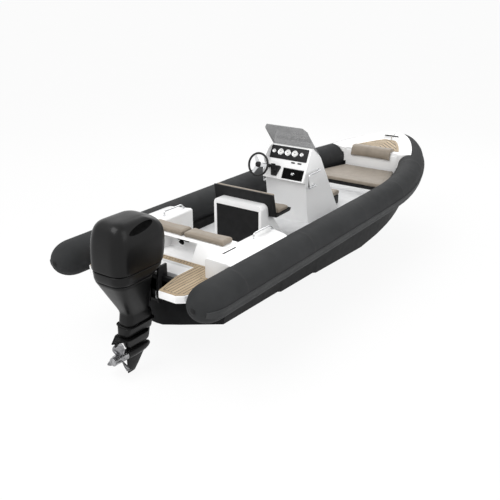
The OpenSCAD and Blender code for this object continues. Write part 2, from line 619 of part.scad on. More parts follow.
// Rounded plan outline of the motor between two x places.
module plan(x0, x1, w, z, t = 2) translate([(x0 + x1) / 2, 0, z]) linear_extrude(t)
    polygon([for (a = [0 : 15 : 345]) [(x1 - x0) / 2 * sign(cos(a)) * pow(abs(cos(a)), 0.75),
        w * sign(sin(a)) * pow(abs(sin(a)), 0.75)]]);
module motor_leg() color(black) {
    hull() {
        plan(-750, -20, cowl_w - 12, 425, 25);
        plan(-740, -30, cowl_w - 20, 332);
    }
    hull() {
        plan(-735, -190, cowl_w - 26, 332);
        plan(-500, -175, 108, -97);
    }
    hull() {
        plan(-525, -125, 110, -250);
        plan(-505, -128, 108, -127);
    }
    plan(-505, -175, 100, -127, 32);
    plan(-540, -112, 132, -262, 14);
    hull() {
        plan(-560, -135, 85, -377);
        plan(-540, -125, 105, -262);
    }
    translate([steer_x, 0, -130]) cylinder(r = steer_r, h = 470, $fn = 48);
    slab(steer_x - 90, steer_x + 40, -70, 70, -135, -96);
    slab(steer_x - 110, steer_x + 60, -90, 90, 322, 334);
}
module powerhead() color(black) slab(-520, -130, -150, 150, 450.3, 850);
module cowl_shape(grow) hull() {
    plan(-752 - grow, -15 + grow, cowl_w + grow, 450.3, 20);
    plan(-750 - grow, 35 + grow, cowl_w + grow, 620);
    plan(-735 - grow, 40 + grow, cowl_w - 6 + grow, 770);
    plan(-710 - grow, grow, cowl_w - 26 + grow, cowl_top - 120 + grow);
    plan(-680 - grow, -90 + grow, cowl_w - 62 + grow, cowl_top - 45 + grow);
    plan(-610 - grow, -190 + grow, cowl_w - 122 + grow, cowl_top - 2 + grow);
}
module cowl() color(black) difference() {
    cowl_shape(0);
    translate([0, 0, -5]) cowl_shape(-18);
}
module gearcase() color(black) {
    hull() {
        plan(-545, -135, 60, -395, 18);
        plan(-500, -150, 32, -560);
    }
    translate([0, 0, -395]) linear_extrude(12) polygon([[-740, 0], [-700, 60], [-560, 125], [-300, 125],
        [-170, 60], [-170, -60], [-300, -125], [-560, -125], [-700, -60]]);
    translate([-505, 0, -prop_z]) rotate([0, 90, 0]) cylinder(r = 62, h = 260, $fn = 64);
    translate([-245, 0, -prop_z]) rotate([0, 90, 0]) cylinder(r1 = 62, r2 = 20, h = 110, $fn = 64);
    prism_y(-9, 9) polygon([[-500, -prop_z - 40], [-500, -850], [-400, -860], [-200, -prop_z - 30]]);
    translate([-730, 0, -prop_z]) rotate([0, 90, 0]) cylinder(r = 13, h = 240, $fn = 32);
    slab(-500, -230, -30, 30, -prop_z, -540);
}
module propeller() color(black) difference() {
    union() {
        translate([-715, 0, -prop_z]) rotate([0, 90, 0]) cylinder(r1 = 48, r2 = 56, h = 205, $fn = 64);
        for (a = [0, 120, 240]) translate([-600, 0, -prop_z]) rotate([a, 0, 0]) hull() {
            rotate([0, 0, 38]) translate([-6, -55, 30]) cube([12, 110, 10]);
            rotate([0, 0, 26]) translate([-4, -75, prop_r * 0.62]) cube([8, 150, 4]);
            rotate([0, 0, 20]) translate([-3, -30, prop_r - 6]) cube([6, 60, 4]);
        }
    }
    translate([-800, 0, -prop_z]) rotate([0, 90, 0]) cylinder(r = 13 + shaft_gap, h = 400, $fn = 32);
}

boat_hull();
transom();
cockpit_floor();
tube_starboard();
tube_port();
rubbing_strakes();
motor_well();
swim_platforms();
teak_stern();
coamings();
stern_rails();
aft_bulkhead();
bulkhead_bolster();
aft_seat_box();
aft_seat_lid();
aft_seat_cushion();
helm_seat_base();
helm_base_door();
helm_seat_shell();
helm_seat_cushion();
helm_back_cushion();
console();
gauge_panel();
throttle();
glovebox_lid();
windscreen();
steering_wheel();
steering_column();
console_rails();
console_seat();
console_seat_box();
bow_locker();
sun_pad_lid();
sun_pad();
bow_deck();
bow_covers();
bow_bolster();
bow_teak();
bow_post();
motor_clamp();
trim_ram();
motor_swivel();
motor_leg();
powerhead();
cowl();
gearcase();
propeller();
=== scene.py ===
"""Looks of a rigid inflatable boat with a centre console and one outboard motor."""
import math

import bpy
import numpy as np
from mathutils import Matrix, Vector


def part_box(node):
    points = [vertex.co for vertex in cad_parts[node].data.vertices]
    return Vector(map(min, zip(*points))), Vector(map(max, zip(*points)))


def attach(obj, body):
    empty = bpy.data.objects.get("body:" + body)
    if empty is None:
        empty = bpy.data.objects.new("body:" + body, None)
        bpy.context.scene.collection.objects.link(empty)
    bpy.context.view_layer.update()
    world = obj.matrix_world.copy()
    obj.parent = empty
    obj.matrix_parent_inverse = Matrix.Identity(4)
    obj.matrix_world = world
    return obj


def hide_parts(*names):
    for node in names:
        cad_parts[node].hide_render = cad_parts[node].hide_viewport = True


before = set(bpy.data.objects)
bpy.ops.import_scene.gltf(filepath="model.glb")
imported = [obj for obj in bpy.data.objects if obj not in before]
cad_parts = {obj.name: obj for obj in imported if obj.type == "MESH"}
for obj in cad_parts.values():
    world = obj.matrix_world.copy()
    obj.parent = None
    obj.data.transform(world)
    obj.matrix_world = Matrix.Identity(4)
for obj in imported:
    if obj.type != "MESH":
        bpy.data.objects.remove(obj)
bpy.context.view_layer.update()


# The tubes' centre lines run at tube_side to either hand and tube_height above the
# water, straight as far forward as bend_start, and meet at bow_tip.
tube_side, tube_height = 1.03, 0.25
bend_start, bow_tip = 4, 6.67
strake_slope = -0.242  # how far the strakes' outer faces look down
shaft_height = -0.61  # the propeller shaft


# ---- Working in edit mode ----

def only(piece):
    """Leaves just this piece selected and active."""
    bpy.ops.object.select_all(action="DESELECT")
    piece.select_set(True)
    bpy.context.view_layer.objects.active = piece
    return piece


def edit(piece, select="SELECT", kind="VERT"):
    """Opens edit mode on this piece, with everything or nothing selected."""
    only(piece)
    bpy.ops.object.mode_set(mode="EDIT")
    bpy.ops.mesh.select_mode(type=kind)
    bpy.ops.mesh.select_all(action=select)


def done():
    """Closes edit mode."""
    bpy.ops.object.mode_set(mode="OBJECT")
    return bpy.context.object


def settle(piece):
    """Puts the piece's place, turn and scale into its mesh."""
    only(piece)
    bpy.ops.object.transform_apply(location=True, rotation=True, scale=True)
    return piece


def faces_where(piece, test):
    """Opens edit mode with only the faces selected that pass test(centre, normal)."""
    edit(piece, "DESELECT", "FACE")
    done()
    for face in piece.data.polygons:
        face.select = bool(test(face.center, face.normal))
    bpy.ops.object.mode_set(mode="EDIT")


def edges_where(piece, test):
    """Opens edit mode with only the edges selected that pass test(one end, other end)."""
    edit(piece, "DESELECT", "EDGE")
    done()
    points = piece.data.vertices
    for edge in piece.data.edges:
        edge.select = bool(test(*(points[i].co for i in edge.vertices)))
    bpy.ops.object.mode_set(mode="EDIT")


def paint_where(piece, finish, test):
    """Gives a second finish to the faces that pass test(centre, normal)."""
    piece.data.materials.append(finish)
    for face in piece.data.polygons:
        if test(face.center, face.normal):
            face.material_index = len(piece.data.materials) - 1


def pull(offset):
    """Extrudes what is selected and moves it."""
    bpy.ops.mesh.extrude_region_move(TRANSFORM_OT_translate={"value": offset})


def resize(value, centre=(0, 0, 0)):
    """Scales what is selected about a point."""
    bpy.ops.transform.resize(value=value, center_override=centre)


def put(piece, place=(0, 0, 0), turn=(0, 0, 0)):
    """Turns a piece, moves it to its place and settles it there."""
    piece.rotation_mode = "XYZ"
    piece.rotation_euler = turn
    piece.location = place
    return settle(piece)


def modify(piece, kind, **settings):
    """Adds a modifier and applies it."""
    only(piece)
    step = piece.modifiers.new(kind.title(), kind)
    for key, value in settings.items():
        setattr(step, key, value)
    bpy.ops.object.modifier_apply(modifier=step.name)
    return piece


def smooth(piece, angle):
    """Shades the piece smoothly, apart from edges sharper than the angle."""
    only(piece)
    bpy.ops.object.shade_smooth_by_angle(angle=math.radians(angle))
    return piece


def soften(piece, width, segments=3, angle=30):
    """Rounds every edge sharper than the angle and shades the piece smoothly."""
    modify(piece, "BEVEL", width=width, segments=segments, limit_method="ANGLE",
           angle_limit=math.radians(angle), harden_normals=False, use_clamp_overlap=True)
    return smooth(piece, 40)


def subdivide(piece, levels):
    """Rounds the whole piece by subdivision."""
    modify(piece, "SUBSURF", levels=levels, render_levels=levels)
    only(piece)
    bpy.ops.object.shade_smooth()
    return piece


def outward(piece):
    """Merges doubled points and turns every face outwards."""
    edit(piece)
    bpy.ops.mesh.remove_doubles(threshold=0.00005)
    bpy.ops.mesh.normals_make_consistent(inside=False)
    return done()


def join(name, pieces):
    """Makes one piece of several."""
    bpy.ops.object.select_all(action="DESELECT")
    for piece in pieces:
        piece.select_set(True)
    bpy.context.view_layer.objects.active = pieces[0]
    bpy.ops.object.join()
    pieces[0].name = name
    return pieces[0]


def mirrored(piece):
    """Adds the same shape on the other side of the centreline."""
    modify(piece, "MIRROR", use_axis=(False, True, False), use_clip=False)
    return outward(piece)


def finish_off(piece, finish, body="boat", nodes=()):
    """Last step of each piece: its finish, its body, and the CAD nodes it stands for."""
    if finish is not None and not piece.data.materials:
        piece.data.materials.append(finish)
    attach(piece, body)
    if nodes:
        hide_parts(*nodes)
    return piece


# ---- Starting shapes ----

def copy_of(node, name, flat=1.0):
    """A merged copy of a CAD node, its flat faces made whole."""
    piece = bpy.data.objects.new(name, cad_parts[node].data.copy())
    bpy.context.scene.collection.objects.link(piece)
    piece.data.materials.clear()
    only(piece)
    bpy.ops.mesh.customdata_custom_splitnormals_clear()
    edit(piece)
    bpy.ops.mesh.remove_doubles(threshold=0.00005)
    if flat:
        bpy.ops.mesh.dissolve_limited(angle_limit=math.radians(flat))
    done()
    return piece


def fresh(name):
    """The piece that was just added, under its name."""
    piece = bpy.context.object
    piece.name = name
    return piece


def block(name, low, high):
    """A box between two corners."""
    low, high = Vector(low), Vector(high)
    bpy.ops.mesh.primitive_cube_add(size=1, location=(low + high) / 2)
    piece = fresh(name)
    piece.scale = high - low
    return settle(piece)


def corners_rounded(points, radius, steps=5):
    """A path whose corners are turned into arcs."""
    points = [Vector(p) for p in points]
    path = [points[0]]
    for before, corner, after in zip(points, points[1:], points[2:]):
        a, b = before - corner, after - corner
        reach = min(radius, a.length * 0.48, b.length * 0.48)
        start, end = corner + a.normalized() * reach, corner + b.normalized() * reach
        for k in range(steps + 1):
            t = k / steps
            path.append((1 - t) ** 2 * start + 2 * t * (1 - t) * corner + t * t * end)
    return path + [points[-1]]


def rod(name, points, radius, bend):
    """A round bar drawn point by point along a path, its corners bent to a radius."""
    path = corners_rounded(points, bend)
    bpy.ops.mesh.primitive_plane_add(size=0.01, location=path[0])
    piece = bpy.context.object
    edit(piece)
    bpy.ops.mesh.merge(type="CENTER")
    for a, b in zip(path, path[1:]):
        pull(b - a)
    done()
    settle(piece)
    bpy.ops.object.convert(target="CURVE")
    piece = bpy.context.object
    piece.data.bevel_depth = radius
    piece.data.bevel_resolution = 4
    piece.data.use_fill_caps = True
    bpy.ops.object.convert(target="MESH")
    piece = fresh(name)
    outward(piece)
    return smooth(piece, 50)


def turned(name, profile, base=(0, 0, 0), along=(0, 0, 1), sides=48):
    """A turned piece: (distance along its axis, radius) pairs, closed at both ends."""
    bpy.ops.mesh.primitive_circle_add(vertices=sides, radius=profile[0][1], fill_type="NGON",
                                      location=(0, 0, profile[0][0]))
    piece = fresh(name)
    settle(piece)
    edit(piece)
    for (z0, r0), (z1, r1) in zip(profile, profile[1:]):
        pull((0, 0, z1 - z0))
        resize((r1 / r0, r1 / r0, 1), (0, 0, z1))
    done()
    piece.rotation_mode = "QUATERNION"
    piece.rotation_quaternion = Vector((0, 0, 1)).rotation_difference(Vector(along))
    piece.location = base
    settle(piece)
    outward(piece)
    return smooth(piece, 30)


def stacked(name, sections, corner, segments=5):
    """A moulding raised from one rounded plan: (height, after end, forward end, half width)."""
    z, x0, x1, w = sections[0]
    bpy.ops.mesh.primitive_plane_add(size=1, location=((x0 + x1) / 2, 0, z))
    piece = fresh(name)
    piece.scale = (x1 - x0, 2 * w, 1)
    settle(piece)
    edit(piece)
    bpy.ops.mesh.bevel(offset=corner, segments=segments, affect="VERTICES")
    bpy.ops.mesh.select_all(action="SELECT")
    for (za, a0, a1, wa), (zb, b0, b1, wb) in zip(sections, sections[1:]):
        middle = (b0 + b1) / 2
        pull((middle - (a0 + a1) / 2, 0, zb - za))
        resize(((b1 - b0) / (a1 - a0), wb / wa, 1), (middle, 0, zb))
    done()
    return outward(piece)


def cut_out(piece, cutter):
    """Cuts one piece away with another, whose finish lines the cut."""
    modify(piece, "BOOLEAN", operation="DIFFERENCE", object=cutter, solver="EXACT",
           material_mode="TRANSFER")
    bpy.data.objects.remove(cutter)
    return piece


# ---- Finishes ----

class Finish:
    """A material being put together: its nodes, its shader and its own coordinates."""

    def __init__(self, name, roughness, metallic=0.0, **sockets):
        self.mat = bpy.data.materials.new(name)
        self.mat.use_nodes = True
        self.nodes = self.mat.node_tree.nodes
        self.links = self.mat.node_tree.links
        self.shader = self.nodes["Principled BSDF"]
        self.shader.inputs["Roughness"].default_value = roughness
        self.shader.inputs["Metallic"].default_value = metallic
        for key, value in sockets.items():
            self.shader.inputs[key.replace("_", " ")].default_value = value
        self.place = self.nodes.new("ShaderNodeTexCoord").outputs["Object"]

    def node(self, kind, feeds=None, **settings):
        """Adds a node with its settings; feeds gives inputs a value or an output each."""
        made = self.nodes.new("ShaderNode" + kind)
        for key, value in settings.items():
            setattr(made, key, value)
        for key, value in (feeds or {}).items():
            if isinstance(value, bpy.types.NodeSocket):
                self.link(value, made.inputs[key])
            else:
                made.inputs[key].default_value = value
        return made

    def link(self, out, into):
        self.links.new(out, into)

    def stretched(self, scale, turn=(0, 0, 0)):
        """The piece's own coordinates, scaled and turned."""
        return self.node("Mapping", {"Vector": self.place, "Scale": scale,
                                     "Rotation": turn}).outputs["Vector"]

    def noise(self, scale, detail, vector=None):
        return self.node("TexNoise", {"Vector": vector or self.place, "Scale": scale,
                                      "Detail": detail}).outputs["Fac"]

    def cells(self, scale, feature="F1"):
        return self.node("TexVoronoi", {"Vector": self.place, "Scale": scale},
                         feature=feature).outputs["Distance"]

    def stripes(self, scale, direction, vector=None):
        return self.node("TexWave", {"Vector": vector or self.place, "Scale": scale},
                         bands_direction=direction).outputs["Fac"]

    def sum(self, a, b, kind="ADD"):
        """Two numbers or outputs added, or joined by another kind of sum."""
        return self.node("Math", {0: a, 1: b}, operation=kind).outputs[0]

    def ramp(self, value, stops):
        """Colours picked by a value, from (position, colour) stops."""
        step = self.node("ValToRGB", {"Fac": value})
        bar = step.color_ramp
        while len(bar.elements) < len(stops):
            bar.elements.new(0.5)
        for element, (at, colour) in zip(bar.elements, stops):
            element.position = at
            element.color = (*colour, 1)
        return step.outputs["Color"]

    def colour(self, value, stops):
        self.link(self.ramp(value, stops), self.shader.inputs["Base Color"])
        return self

    def tones(self, scale, detail, dark, light):
        """Base colour that drifts between two tones."""
        return self.colour(self.noise(scale, detail), [(0.3, dark), (0.7, light)])

    def rough(self, value, low, high):
        """Roughness that varies between two values."""
        step = self.node("MapRange", {"Value": value, "To Min": low, "To Max": high})
        self.link(step.outputs["Result"], self.shader.inputs["Roughness"])
        return self

    def bump(self, value, strength, depth):
        """Fine relief, over any that is already there."""
        step = self.node("Bump", {"Height": value, "Strength": strength, "Distance": depth})
        last = self.shader.inputs["Normal"]
        if last.is_linked:
            self.link(last.links[0].from_socket, step.inputs["Normal"])
        self.link(step.outputs["Normal"], last)
        return self


def shade(colour, factor):
    """The same colour, darker or lighter."""
    return tuple(min(1, c * factor) for c in colour)


def collar_fabric():
    """Charcoal coated fabric: a fine woven relief, matt, with slow patches of wear."""
    base = (0.029, 0.03, 0.031)
    f = Finish("collar_fabric", 0.75, Specular_IOR_Level=0.14)
    f.tones(3.5, 5, shade(base, 0.88), shade(base, 1.12))
    f.rough(f.noise(9, 4), 0.64, 0.82)
    weave = f.sum(f.stripes(420, "X"), f.stripes(420, "DIAGONAL"), "MULTIPLY")
    f.bump(weave, 0.12, 0.0006)
    return f.bump(f.noise(2.2, 2), 0.25, 0.006).mat


def seam_tape():
    """The strips over the fabric's joints, a shade darker than the fabric."""
    f = Finish("seam_tape", 0.65, Specular_IOR_Level=0.16)
    f.tones(14, 4, (0.022, 0.0225, 0.0235), (0.03, 0.0305, 0.0315))
    return f.bump(f.noise(260, 2), 0.15, 0.0005).mat


def ribbed_rubber():
    """Dark grey extruded rubber with fine lengthwise drawing lines."""
    f = Finish("strake_rubber", 0.65, Specular_IOR_Level=0.2)
    f.tones(6, 4, (0.033, 0.034, 0.035), (0.043, 0.044, 0.0455))
    f.rough(f.noise(16, 3), 0.56, 0.74)
    return f.bump(f.noise(1, 2, f.stretched((2, 90, 240))), 0.2, 0.002).mat


def gelcoat():
    """White gelcoat: glossy, faintly wavy, with dull patches where it is walked on."""
    base = (0.88, 0.88, 0.88)
    f = Finish("gelcoat", 0.25, Coat_Weight=0.35, Coat_Roughness=0.12, Specular_IOR_Level=0.5)
    f.colour(f.noise(4, 4), [(0.25, shade(base, 0.985)), (0.75, base)])
    f.rough(f.noise(11, 4), 0.26, 0.34)
    return f.bump(f.noise(26, 2), 0.05, 0.002).mat


def deck_grip():
    """Pale moulded deck with a raised anti-slip diamond pattern."""
    f = Finish("deck_grip", 0.55, Specular_IOR_Level=0.35)
    f.tones(8, 5, (0.66, 0.665, 0.67), (0.74, 0.745, 0.75))
    slanted = f.stretched((1, 1, 1), (0, 0, math.radians(45)))
    diamonds = f.sum(f.stripes(30, "X", slanted), f.stripes(30, "Y", slanted), "MULTIPLY")
    f.bump(diamonds, 0.5, 0.002)
    return f.bump(f.noise(300, 2), 0.2, 0.0006).mat


def hull_gloss():
    """The hull's black, dulled by the water."""
    f = Finish("hull_gloss", 0.5, Specular_IOR_Level=0.08)
    f.tones(5, 4, (0.006, 0.0063, 0.0066), (0.011, 0.0113, 0.012))
    f.rough(f.noise(13, 4), 0.42, 0.6)
    return f.bump(f.noise(18, 2), 0.06, 0.003).mat


def teak_wood(name, pitch, chevron=False, tone=1.0, caulked=True, seam_at=0.4):
    """Teak strips, pitch apart, with dark caulked seams and grain along each strip."""
    f = Finish(name, 0.55, Specular_IOR_Level=0.3)
    split = f.node("SeparateXYZ", {"Vector": f.place})
    along, across = split.outputs["X"], split.outputs["Y"]
    if chevron:
        side = f.sum(across, 0.0, "ABSOLUTE")
        along, across = f.sum(side, along, "SUBTRACT"), f.sum(side, along)
    strip = f.sum(across, pitch, "DIVIDE")
    board = f.sum(strip, 0.0, "FLOOR")
    place = f.sum(strip, 0.0, "FRACT")
    spot = f.node("CombineXYZ", {"X": f.sum(along, 2.5, "MULTIPLY"),
                                 "Y": f.sum(across, 70.0, "MULTIPLY"),
                                 "Z": f.sum(board, 3.7, "MULTIPLY")})
    grain = f.noise(2.0, 6, spot.outputs["Vector"])
    wood = f.ramp(grain, [(0.25, shade((0.32, 0.24, 0.15), tone)),
                          (0.5, shade((0.47, 0.365, 0.235), tone)),
                          (0.75, shade((0.6, 0.48, 0.33), tone))])
    tint = f.node("TexWhiteNoise", {"W": board}, noise_dimensions="1D").outputs["Value"]
    tint = f.ramp(tint, [(0, (0.82, 0.8, 0.78)), (1, (1, 1, 1))])
    tinted = f.node("Mix", {"Factor": 1, "A": wood, "B": tint}, data_type="RGBA",
                    blend_type="MULTIPLY").outputs["Result"]
    if not caulked:
        f.link(tinted, f.shader.inputs["Base Color"])
        return f.bump(grain, 0.15, 0.001).mat
    seam = f.ramp(f.sum(f.sum(place, 0.5, "SUBTRACT"), 0.0, "ABSOLUTE"),
                  [(seam_at, (0, 0, 0)), (seam_at + 0.03, (1, 1, 1))])
    caulk = f.node("Mix", {"Factor": seam, "A": tinted, "B": (0.03, 0.028, 0.026, 1)},
                   data_type="RGBA")
    f.link(caulk.outputs["Result"], f.shader.inputs["Base Color"])
    f.bump(f.sum(1.0, seam, "SUBTRACT"), 0.4, 0.0015)
    return f.bump(grain, 0.15, 0.001).mat


def caulk_black():
    """The rubbery seam between teak boards."""
    f = Finish("caulk_black", 0.6)
    f.tones(40, 3, (0.02, 0.02, 0.02), (0.035, 0.034, 0.032))
    return f.bump(f.noise(200, 2), 0.2, 0.0004).mat


def marine_vinyl():
    """Taupe upholstery vinyl with a pebbled leather grain."""
    base = (0.255, 0.215, 0.17)
    f = Finish("marine_vinyl", 0.52, Specular_IOR_Level=0.42, Sheen_Weight=0.12)
    f.tones(9, 6, shade(base, 0.9), shade(base, 1.1))
    f.rough(f.noise(24, 4), 0.44, 0.6)
    f.bump(f.cells(420, "SMOOTH_F1"), 0.25, 0.0008)
    return f.bump(f.noise(22, 3), 0.18, 0.003).mat


def black_panel(name="black_panel", base=(0.011, 0.011, 0.0115)):
    """Black moulded plastic with a fine grained surface."""
    f = Finish(name, 0.45, Specular_IOR_Level=0.18)
    f.tones(12, 4, shade(base, 0.8), shade(base, 1.25))
    f.rough(f.noise(30, 3), 0.39, 0.55)
    return f.bump(f.cells(700), 0.12, 0.0004).mat


def soft_black():
    """Soft black rubber of the wheel's rim and the bow's crossbar."""
    f = Finish("grip_rubber", 0.5, Specular_IOR_Level=0.2)
    f.tones(30, 4, (0.012, 0.012, 0.012), (0.022, 0.022, 0.022))
    return f.bump(f.cells(520), 0.35, 0.0006).mat


def polished_steel():
    """Polished stainless steel with faint drawing lines."""
    base = (0.72, 0.73, 0.74)
    f = Finish("polished_steel", 0.14, 1.0)
    f.tones(20, 3, shade(base, 0.92), base)
    f.rough(f.noise(45, 4), 0.098, 0.224)
    return f.bump(f.noise(1, 3, f.stretched((14, 300, 300))), 0.05, 0.0004).mat


def motor_paint():
    """Satin black cowl paint with a clear coat and the faintest orange peel."""
    base = (0.0042, 0.0042, 0.0044)
    f = Finish("motor_paint", 0.33, Coat_Weight=0.12, Coat_Roughness=0.16, Specular_IOR_Level=0.16)
    f.tones(6, 4, shade(base, 0.85), shade(base, 1.2))
    f.rough(f.noise(16, 4), 0.28, 0.41)
    f.bump(f.noise(190, 2), 0.06, 0.0004)
    return f.bump(f.noise(7, 2), 0.05, 0.003).mat


def propeller_steel():
    """Bare cast steel, stained by the water."""
    f = Finish("propeller_steel", 0.22, 1.0)
    f.colour(f.noise(18, 4), [(0.35, (0.16, 0.16, 0.165)), (0.65, (0.42, 0.42, 0.43))])
    f.rough(f.noise(50, 3), 0.14, 0.34)
    return f.bump(f.noise(1, 3, f.stretched((60, 500, 60))), 0.15, 0.0005).mat


def bracket_paint():
    """Hard-wearing satin black on the clamp and the swivel."""
    f = Finish("bracket_paint", 0.48, Specular_IOR_Level=0.16)
    f.tones(14, 4, (0.008, 0.008, 0.0085), (0.015, 0.015, 0.016))
    f.rough(f.noise(30, 3), 0.36, 0.55)
    return f.bump(f.noise(150, 3), 0.15, 0.0008).mat


def black_and_painted_shade():
    """Dull near-black: painted shade lining the cowl's air slots and the coamings' recesses; it
    also colours the glovebox door and the shower fitting.
    """
    f = Finish("black_and_painted_shade", 0.8, Specular_IOR_Level=0.05)
    f.tones(30, 2, (0.002, 0.002, 0.002), (0.005, 0.005, 0.005))
    return f.bump(f.noise(90, 2), 0.2, 0.001).mat


def smoked_sheet():
    """Smoked clear acrylic, seen through on both faces."""
    f = Finish("smoked_sheet", 0.06, Specular_IOR_Level=0.5, IOR=1.49, Alpha=0.6,
               Coat_Weight=0.1)
    f.tones(3, 3, (0.2, 0.203, 0.207), (0.235, 0.238, 0.243))
    f.rough(f.noise(60, 3), 0.04, 0.12)
    return f.bump(f.noise(5, 1), 0.02, 0.002).mat


def dial_face():
    """A white dial: dark ticks round the rim and a ring near the middle."""
    f = Finish("dial_face", 0.3, Coat_Weight=0.6, Coat_Roughness=0.03)
    centred = f.node("Mapping", {"Vector": f.node("TexCoord").outputs["UV"],
                                 "Location": (-0.5, -0.5, 0)}).outputs["Vector"]
    radius = f.node("VectorMath", {0: centred}, operation="LENGTH").outputs["Value"]
    parts = f.node("SeparateXYZ", {"Vector": centred})
    turn = f.sum(parts.outputs["Y"], parts.outputs["X"], "ARCTAN2")
    tick = f.sum(f.sum(turn, 20 / (2 * math.pi), "MULTIPLY"), 0.0, "FRACT")
    near = f.sum(f.sum(tick, 0.5, "SUBTRACT"), 0.0, "ABSOLUTE")
    mark = f.sum(near, 0.36, "GREATER_THAN")
    band = f.sum(f.sum(radius, 0.33, "GREATER_THAN"), f.sum(radius, 0.43, "LESS_THAN"),
                 "MULTIPLY")
    hub = f.sum(radius, 0.09, "LESS_THAN")
    ink = f.sum(f.sum(mark, band, "MULTIPLY"), hub, "MAXIMUM")
    f.colour(ink, [(0.2, (0.83, 0.83, 0.82)), (0.8, (0.03, 0.03, 0.03))])
    return f.bump(f.noise(60, 2), 0.02, 0.0005).mat


# ---- Collar ----

def tube_line(t):
    """Point and direction of the starboard tube's centre line along its bow curve."""
    a, b = Vector((bend_start, -tube_side)), Vector((5.2, -tube_side))
    c, d = Vector((bow_tip, -0.4)), Vector((bow_tip, 0))
    spot = (1 - t) ** 3 * a + 3 * (1 - t) ** 2 * t * b + 3 * (1 - t) * t * t * c + t ** 3 * d
    way = (1 - t) ** 2 * (b - a) + 2 * (1 - t) * t * (c - b) + t * t * (d - c)
    return spot, way.normalized()


def seam_places():
    """Where the fabric panels of one tube are taped together: a point and a direction."""
    places = [(Vector((x, -tube_side)), Vector((1, 0))) for x in (0.115, 1.5, 2.9)]
    return places + [tube_line(t) for t in (0.04, 0.36, 0.66)]


def collar():
    """Both tubes as one skin, with raised tapes over the panel joints."""
    skin = copy_of("tube_starboard", "collar", flat=0)
    edit(skin)
    bpy.ops.mesh.tris_convert_to_quads()
    done()
    faces_where(skin, lambda c, n: abs(n.y) > 0.99 and c.y > -0.02 and c.x > 6)
    bpy.ops.mesh.delete(type="FACE")
    done()
    bands = seam_places()
    for spot, way in bands:
        for side in (-0.022, 0.022):
            edit(skin)
            bpy.ops.mesh.bisect(plane_co=(*(spot + way * side), 0), plane_no=(*way, 0))
            done()

    def taped(c, n):
        return any(abs((c.xy - spot).dot(way)) < 0.02 and (c.xy - spot).length < 0.3
                   for spot, way in bands)

    faces_where(skin, taped)
    bpy.ops.mesh.extrude_region_shrink_fatten(
        TRANSFORM_OT_shrink_fatten={"value": 0.0016, "use_even_offset": True})
    done()
    skin.data.materials.append(collar_fabric())
    paint_where(skin, seam_tape(), taped)
    mirrored(skin)
    subdivide(skin, 1)
    finish_off(skin, None, nodes=("tube_starboard", "tube_port"))


def tail_caps():
    """Small moulded caps on the tails of the tubes."""
    for side in (-1, 1):
        cap = turned("tail_cap_" + ("starboard" if side < 0 else "port"), [
            (0, 0.036), (0.003, 0.037), (0.008, 0.032), (0.013, 0.016), (0.015, 0.004)],
            base=(-0.5445, side * tube_side, tube_height), along=(-1, 0, 0))
        finish_off(cap, black_panel("tail_cap_rubber"))


def strakes():
    """Rubbing strakes with a sunken centre panel between two ribs."""
    skin = copy_of("rubbing_strakes", "rubbing_strakes", flat=0)
    edit(skin)
    bpy.ops.mesh.tris_convert_to_quads()
    done()

    def outer(c, n):
        forward = n.x if c.x > bend_start else 0
        sideways = n.y * math.copysign(1, c.y) if abs(c.y) > 0.05 else 0
        return abs(n.z - strake_slope) < 0.14 and forward + sideways > 0.3

    faces_where(skin, outer)
    bpy.ops.mesh.inset(thickness=0.009, depth=-0.004, use_boundary=True, use_even_offset=True)
    done()
    outward(skin)
    smooth(skin, 32)
    finish_off(skin, ribbed_rubber(), nodes=("rubbing_strakes",))


# ---- Hull and decks ----

def moulded(node, width, finish, body="boat", segments=3, angle=30, flat=1.0):
    """A CAD piece with its edges rounded as a moulding's are."""
    piece = copy_of(node, node + "_moulding", flat)
    soften(piece, width, segments, angle)
    return finish_off(piece, finish, body, (node,))


def hull(black):
    """The stepped bottom and the transom."""
    skin = copy_of("boat_hull", "hull_bottom", flat=0.3)
    smooth(skin, 24)
    finish_off(skin, black, nodes=("boat_hull",))
    moulded("transom", 0.008, black)


def floor_deck(grip):
    """The cockpit floor stays as the CAD piece, with its own finish."""
    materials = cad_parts["cockpit_floor"].data.materials
    materials.clear()
    materials.append(grip)


def lay_planks(piece, planks, border, caulk, margin):
    """On each flat top: a border board, a caulked seam, then strips."""
    for finish in (border, planks, caulk):
        piece.data.materials.append(finish)
    faces_where(piece, lambda c, n: n.z > 0.97)
    bpy.ops.mesh.dissolve_limited(angle_limit=math.radians(2))
    for thickness, depth, finish in ((margin, 0, 2), (0.005, -0.0006, 1)):
        bpy.ops.mesh.inset(thickness=thickness, depth=depth, use_boundary=True)
        piece.active_material_index = finish
        bpy.ops.object.material_slot_assign()
    done()
    return piece


def stern_planking(planks, border, caulk):
    """Teak on both platforms, and a strip across the forward end of the well."""
    sides = copy_of("teak_stern", "teak_stern_planking")
    edit(sides)
    bpy.ops.mesh.bisect(plane_co=(0, -0.326, 0), plane_no=(0, 1, 0), clear_outer=True,
                        use_fill=True)
    done()
    lay_planks(sides, planks, border, caulk, 0.03)
    mirrored(sides)
    strip = lay_planks(block("strip", (0.34, -0.3255, 0.232), (0.42, 0.3255, 0.24)),
                       planks, border, caulk, 0.02)
    finish_off(join("teak_stern_planking", [sides, strip]), None,
               nodes=("teak_stern",))


